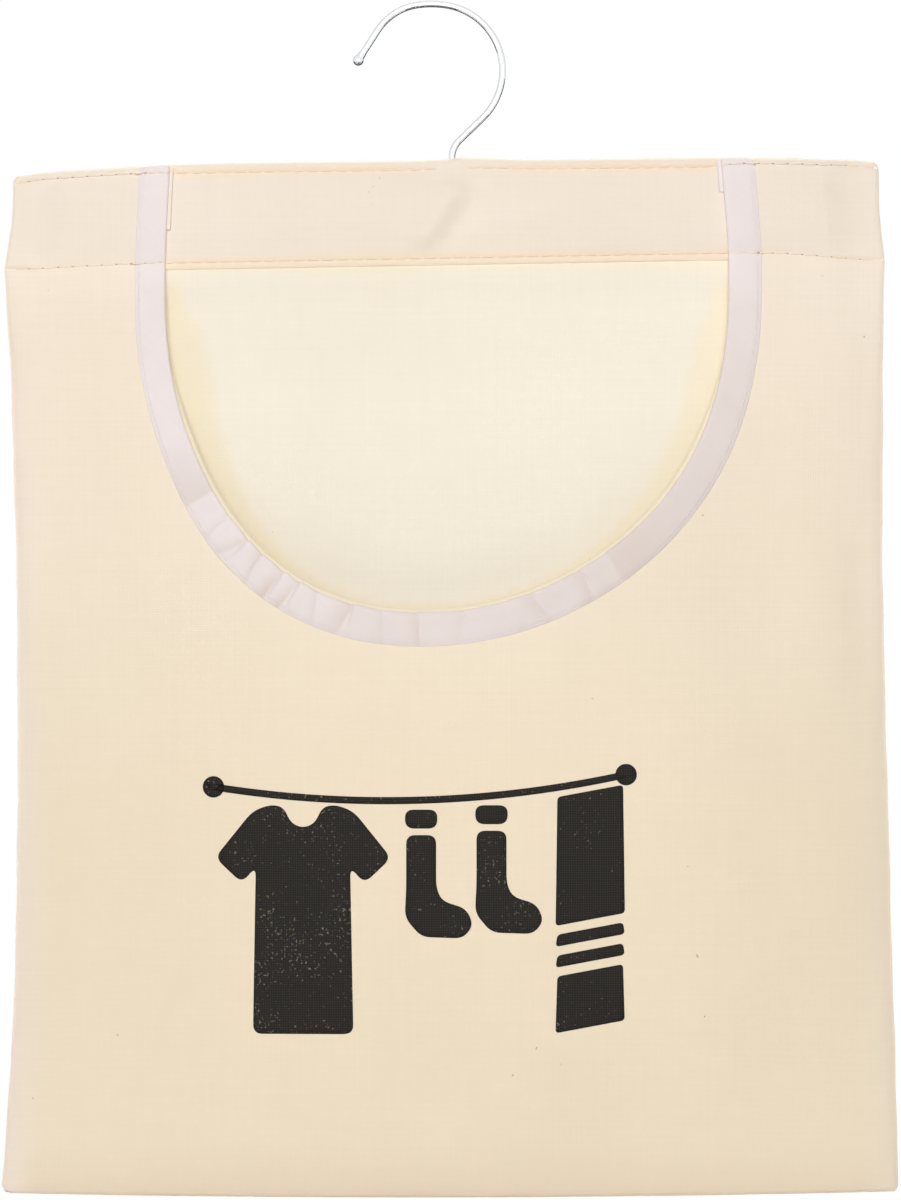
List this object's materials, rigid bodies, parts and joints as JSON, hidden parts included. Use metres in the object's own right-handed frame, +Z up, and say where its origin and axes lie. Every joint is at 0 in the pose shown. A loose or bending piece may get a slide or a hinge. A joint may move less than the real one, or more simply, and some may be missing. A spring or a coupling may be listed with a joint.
{
  "type": "peg bag",
  "caption": "Flat canvas peg bag with a bound U-shaped mouth, a bar in its sewn header and a swivelling wire hook to hang it from a line or rail.",
  "frame": {"origin": "on the hook's swivel axis, at the inside of the bow, where the hook rests on a line or rail", "axes": "+Z up along the swivel axis, -Y out of the bag's front, +X to the right as seen from the front"},
  "size_m": [0.3021, 0.0199, 0.4024],
  "materials": {
    "canvas": "unbleached cotton canvas, plain weave",
    "tape": "white cotton bias tape",
    "thread": "cotton sewing thread",
    "beech": "sanded beech",
    "chrome": "chromed steel wire",
    "zinc": "zinc-plated steel"
  },
  "bodies": {
    "hook": {"hook_wire": "chrome", "hook_collar": "zinc", "retaining_washer": "zinc", "retaining_nut": "zinc"},
    "bag": {"back_panel": "canvas", "front_panel": "canvas", "header_band": "canvas", "mouth_binding": "tape", "left_side_seam": "canvas", "right_side_seam": "canvas", "bottom_seam": "canvas", "upper_row_stitching": "thread", "lower_row_stitching": "thread", "binding_stitching": "thread", "hanger_bar": "beech"}
  },
  "joints": [
    {"name": "hook_swivel", "type": "hinge", "parent": "hook", "child": "bag", "pos_m": [0, 0, -0.0626], "axis": [0, 0, 1], "continuous": true}
  ]
}
